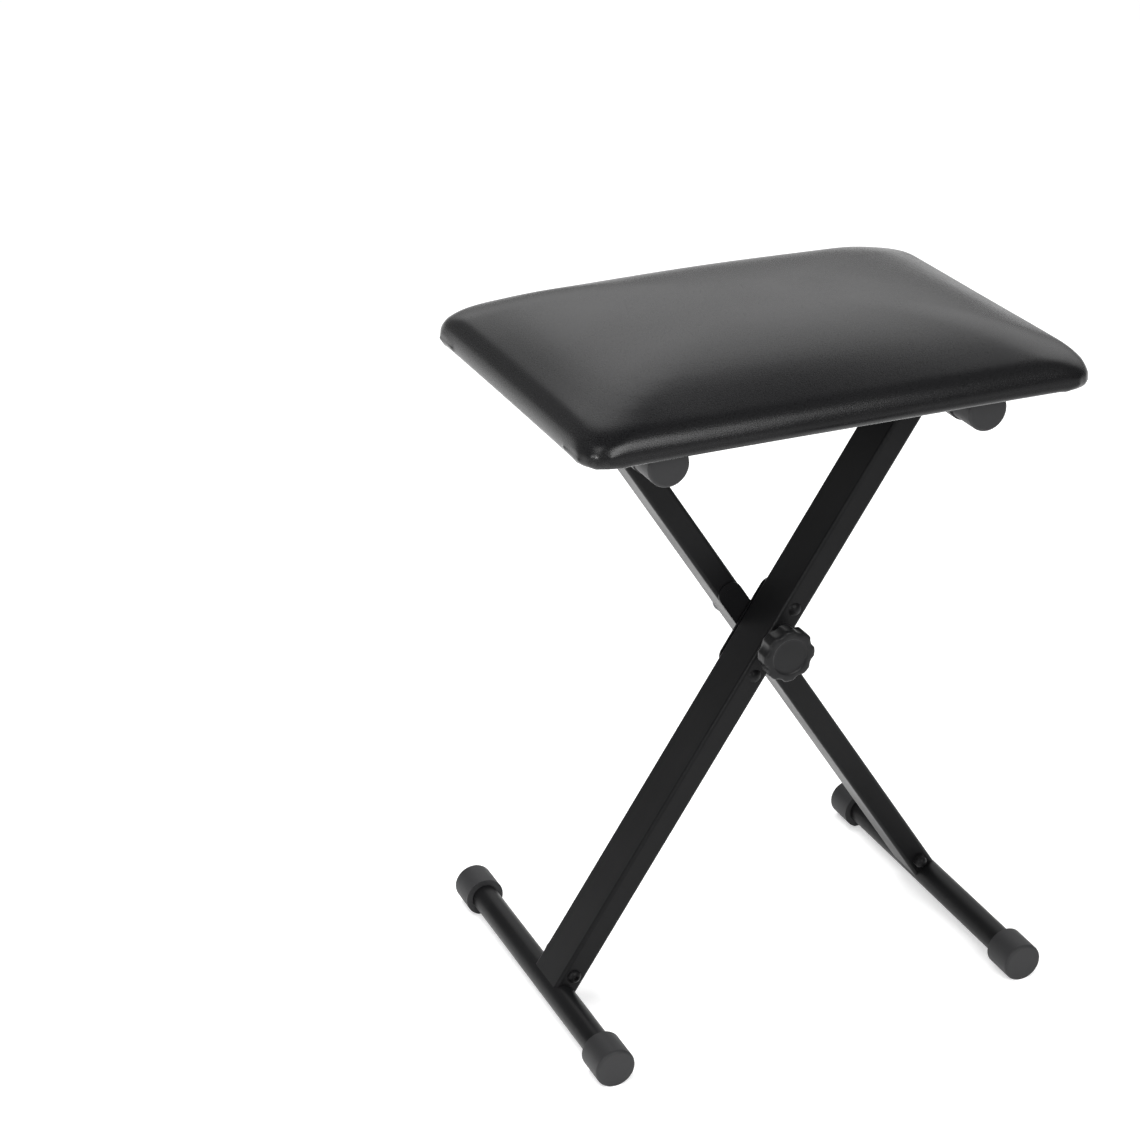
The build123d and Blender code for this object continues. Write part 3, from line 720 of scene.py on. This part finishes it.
def staples():
    """A row of staples along the lining's hem."""
    wire = staple_wire()
    inset, lift, corner_steps = 0.0055, 0.00005, 6
    wide, deep = cloth_high.x - inset, cloth_high.y - inset
    path = []
    for turn, (way_x, way_y) in enumerate(CORNER_WAYS):
        for step in range(corner_steps + 1):
            angle = radians(-90 + 90 * turn + 90 * step / corner_steps)
            path.append((way_x * (wide - LINING_CUT) + cos(angle) * LINING_CUT,
                         way_y * (deep - LINING_CUT) + sin(angle) * LINING_CUT, cloth_low.z + lift))
    row = along_path("lining_staples", path, make_staple_row(wire), Spacing=0.027)
    discard(wire)
    return row


lining_staples = staples()
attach(lining_staples, "seat")

weld_bead = make_weld_bead()
LEG_ANGLE = 57          # degrees from the floor, at rest
LEG_DEPTH = 0.020       # of the tube, in the plane of the X


def top_weld(leg, side):
    """Bead round the end of a leg, where it is saddled onto its top bar."""
    low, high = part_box(f"{leg}_top_bar")
    tube_low, tube_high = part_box(f"{leg}_leg")
    centre = (low + high) / 2
    radius = (high.z - low.z) / 2
    along = Vector((side * cos(radians(LEG_ANGLE)), 0, sin(radians(LEG_ANGLE))))
    across = Vector((-side * along.z, 0, side * along.x))
    steps = 14
    line = [LEG_DEPTH * (step / steps - 0.5) for step in range(steps + 1)]
    points = []
    for y, way in ((tube_low.y, 1), (tube_high.y, -1)):
        for offset in line[::way]:
            sink = sqrt(radius ** 2 - offset ** 2)
            points.append(Vector((centre.x, y, centre.z)) + across * offset - along * sink)
    bead = along_path(f"{leg}_top_weld", points, weld_bead, Bead=0.0019, Ripple=0.0028)
    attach(bead, f"{leg}_frame")


top_weld("front", 1)
top_weld("rear", -1)


# Fasteners and the knob, in millimetres
def hexagon(flats):
    """Radius of a hexagon at an angle, from its width across flats."""
    return lambda angle: flats / 2 / cos((angle + pi / 6) % (pi / 3) - pi / 6)


KNOB_RADIUS, FLUTES, FLUTE_RADIUS, FLUTE_DEPTH, LOBE_EASE = 21.5, 8, 9.0, 1.8, 1.6


def fluted(radius, share):
    """Outline of the grip: scooped flutes with softened lobes between them."""
    reach = KNOB_RADIUS + FLUTE_RADIUS - FLUTE_DEPTH
    pitch = 2 * pi / FLUTES

    def outline(angle):
        off = (angle % pitch) - pitch / 2
        side = min(abs(reach * sin(off)), FLUTE_RADIUS)
        scoop = reach * cos(off) - sqrt(FLUTE_RADIUS ** 2 - side ** 2)
        soft = min(1, max(0, 0.5 + (scoop - KNOB_RADIUS) / LOBE_EASE))
        flute = scoop * (1 - soft) + KNOB_RADIUS * soft - LOBE_EASE / 2 * soft * (1 - soft)
        return radius + (min(flute, KNOB_RADIUS) - KNOB_RADIUS) * share
    return outline


def knob_piece():
    """Clamp knob: a round hub with the bore, the fluted grip, and a face dished inside a rim."""
    hub = [(6, 0), (6, 5.3), (0.4, 5.3), (0, 5.7), (0, 12.3), (0.25, 12.8), (0.9, 13), (9.2, 13), (9.8, 13.3),
           (10, 14)]
    grip_insets = [(10, 2.0), (10.25, 1.0), (10.9, 0.3), (11.8, 0), (14, 0), (18, 0), (21.4, 0), (22.4, 0.2),
                   (23.2, 0.8), (23.7, 1.7), (23.95, 2.8)]
    grip = [(along, fluted(KNOB_RADIUS - inset, 1)) for along, inset in grip_insets]
    face = [(24, fluted(17.2, 0.6)), (24, 15.4), (23.85, 14.8), (23.4, 14.3), (23.15, 13.6), (23.1, 12),
            (23.25, 6), (23.3, 0)]
    foot = (pivot_x, knob_high.y, pivot_z)
    return turned("knob_grip", foot, (0, -1, 0), hub + grip + face, knob_plastic, segments=160)


knob = knob_piece()
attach(knob, "knob")
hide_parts("clamp_knob")


def pivot_screw():
    """Pivot bolt: a plain shank, and a hexagon head with a round washer face and a chamfered top."""
    low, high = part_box("pivot_bolt")
    head, flats, face_radius, shank = 6.4, 17, 7.9, 5
    length = (high.y - low.y) / MM - head
    side = hexagon(flats)

    def chamfer(angle):
        return head - (side(angle) - face_radius) * tan(radians(28))

    rings = [(-length, 0), (-length, 4.1), (-length + 0.9, shank), (0, shank)]
    rings += [(0, face_radius), (0.35, 7.95), (0.4, hexagon(16.6)), (0.7, side), (chamfer, side)]
    rings += [(head, face_radius), (head - 0.05, 7.2), (head - 0.05, 0)]
    return turned("pivot_hex_bolt", (pivot_x, high.y - head * MM, pivot_z), (0, 1, 0), rings, zinc)


pivot = pivot_screw()
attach(pivot, "rear_frame")
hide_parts("pivot_bolt")


def socket_button(leg, side):
    """Button head with a hexagon socket, on the outer face of a leg's foot."""
    low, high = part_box(f"{leg}_foot_bolt")
    centre = (low + high) / 2
    head, length, shank = 3.4, 45, 3
    seat_y = (low.y + head * MM) if side > 0 else (high.y - head * MM)
    rings = [(-length, 0), (-length, 2.4), (-length + 0.6, shank), (0, shank)]
    rings += [(0, 5.4), (0.15, 5.5), (0.7, 5.5), (1.2, 5.35), (1.9, 4.85), (2.6, 4.05), (3.1, 3.2),
              (3.35, 2.75), (3.38, 2.5)]
    rings += [(3.25, hexagon(4.2)), (3.1, hexagon(4)), (1.4, hexagon(4)), (1.15, 0)]
    foot = (centre.x, seat_y, centre.z)
    bolt = turned(f"{leg}_foot_button", foot, (0, -side, 0), rings, powder_coat, segments=72)
    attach(bolt, f"{leg}_frame")
    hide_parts(f"{leg}_foot_bolt")


socket_button("front", 1)
socket_button("rear", -1)


# Stage, light and camera
def studio_floor():
    """White floor that falls off to grey in front of the bench, outside the picture."""
    half, fall_end, fall_start = 14, -1.05, -0.25
    material = bpy.data.materials.new("white_floor")
    material.use_nodes = True
    tree = material.node_tree
    tree.nodes.clear()
    position = tree.nodes.new("ShaderNodeNewGeometry").outputs["Position"]
    place = add_node(tree, "ShaderNodeSeparateXYZ", i0=position)
    lit = eased(tree, place.outputs[1], fall_end, fall_start)
    tone = blend_colour(tree, lit, (0.5, 0.5, 0.5), (0.84, 0.84, 0.84))
    matt = add_node(tree, "ShaderNodeBsdfDiffuse", Color=tone)
    level = math_node(tree, "MULTIPLY", seen_rays(tree), span(tree, lit, 0.2, 0.42))
    glow = add_node(tree, "ShaderNodeEmission", Color=(1, 1, 1, 1), Strength=level)
    both = add_node(tree, "ShaderNodeAddShader", i0=matt.outputs[0], i1=glow.outputs[0])
    out = tree.nodes.new("ShaderNodeOutputMaterial")
    tree.links.new(both.outputs[0], out.inputs[0])
    corners = [(-half, -half, 0), (half, -half, 0), (half, half, 0), (-half, half, 0)]
    ground = piece_from("studio_floor", corners, [(0, 1, 2, 3)], material)


def studio_surround():
    """A bright panel behind and to the right, dark in front and overhead."""
    world = bpy.data.worlds.new("studio_surround")
    scene.world = world
    world.use_nodes = True
    tree = world.node_tree
    tree.nodes.clear()
    around = tree.nodes.new("ShaderNodeTexCoord").outputs["Generated"]
    right, back, up = add_node(tree, "ShaderNodeSeparateXYZ", i0=around).outputs[:3]
    backward = eased(tree, back, -0.25, 0.35, 0.10, 1.0)
    rightward = eased(tree, right, -0.18, 0.16)
    upward = eased(tree, up, 0.05, 0.40)
    overhead = eased(tree, up, 0.82, 0.88, 1.0, 0.0)
    growing = eased(tree, up, 0.35, 0.85, 1.0, 1.6)
    panel = math_node(tree, "MULTIPLY", math_node(tree, "MULTIPLY", rightward, upward), growing)
    wall = math_node(tree, "MULTIPLY", math_node(tree, "MULTIPLY", backward, overhead),
                     math_node(tree, "ADD", panel, 0.30))
    level = add_node(tree, "ShaderNodeMix", i0=seen_rays(tree), i2=0.55, i3=wall)
    sky = add_node(tree, "ShaderNodeBackground", Color=(1, 1, 1, 1), Strength=level.outputs[0])
    out = tree.nodes.new("ShaderNodeOutputWorld")
    tree.links.new(sky.outputs[0], out.inputs[0])


def soft_light(name, place, aim, size, power, mirrored):
    """Oblong softbox, its size given as width and height."""
    lamp = bpy.data.lights.new(name, "AREA")
    lamp.shape = "RECTANGLE"
    lamp.size, lamp.size_y = size
    lamp.energy = power
    holder = bpy.data.objects.new(name, lamp)
    scene.collection.objects.link(holder)
    holder.location = place
    holder.rotation_euler = (Vector(aim) - Vector(place)).to_track_quat("-Z", "Y").to_euler()
    holder.visible_glossy = mirrored
    holder.visible_camera = False


def photo_camera():
    """The camera that was fitted to the photograph."""
    lens = bpy.data.cameras.new("photo_camera")
    lens.sensor_fit = "HORIZONTAL"
    lens.sensor_width = 36
    lens.lens = 85.44
    holder = bpy.data.objects.new("photo_camera", lens)
    scene.collection.objects.link(holder)
    turn, rise, roll = radians(-23.43), radians(25.14), radians(-0.14)
    back = Vector((sin(turn) * cos(rise), -cos(turn) * cos(rise), sin(rise)))
    right = Vector((0, 0, 1)).cross(back).normalized()
    up = back.cross(right)
    rolled_right = right * cos(roll) + up * sin(roll)
    rolled_up = up * cos(roll) - right * sin(roll)
    stand = Matrix((rolled_right, rolled_up, back)).transposed().to_4x4()
    stand.translation = Vector((-0.87511, -1.6700, 1.2147))
    holder.matrix_world = stand
    scene.camera = holder


studio_floor()
studio_surround()
soft_light("overhead_softbox", (-0.5, 0.5, 2.6), (0, 0, 0.2), (1.95, 1.95), power=62, mirrored=False)
soft_light("side_softbox", (-1.0, -0.6, 1.55), (0, 0, 0.35), (0.45, 0.45), power=2.5, mirrored=True)
soft_light("front_softbox", (0.08, -1.66, 1.20), (-0.1, -0.15, 0.51), (1.10, 0.75), power=19, mirrored=True)
soft_light("edge_softbox", (-1.40, -0.95, 0.88), (0, 0, 0.3), (0.35, 0.35), power=9.0, mirrored=True)
photo_camera()
scene.view_settings.view_transform = "Standard"
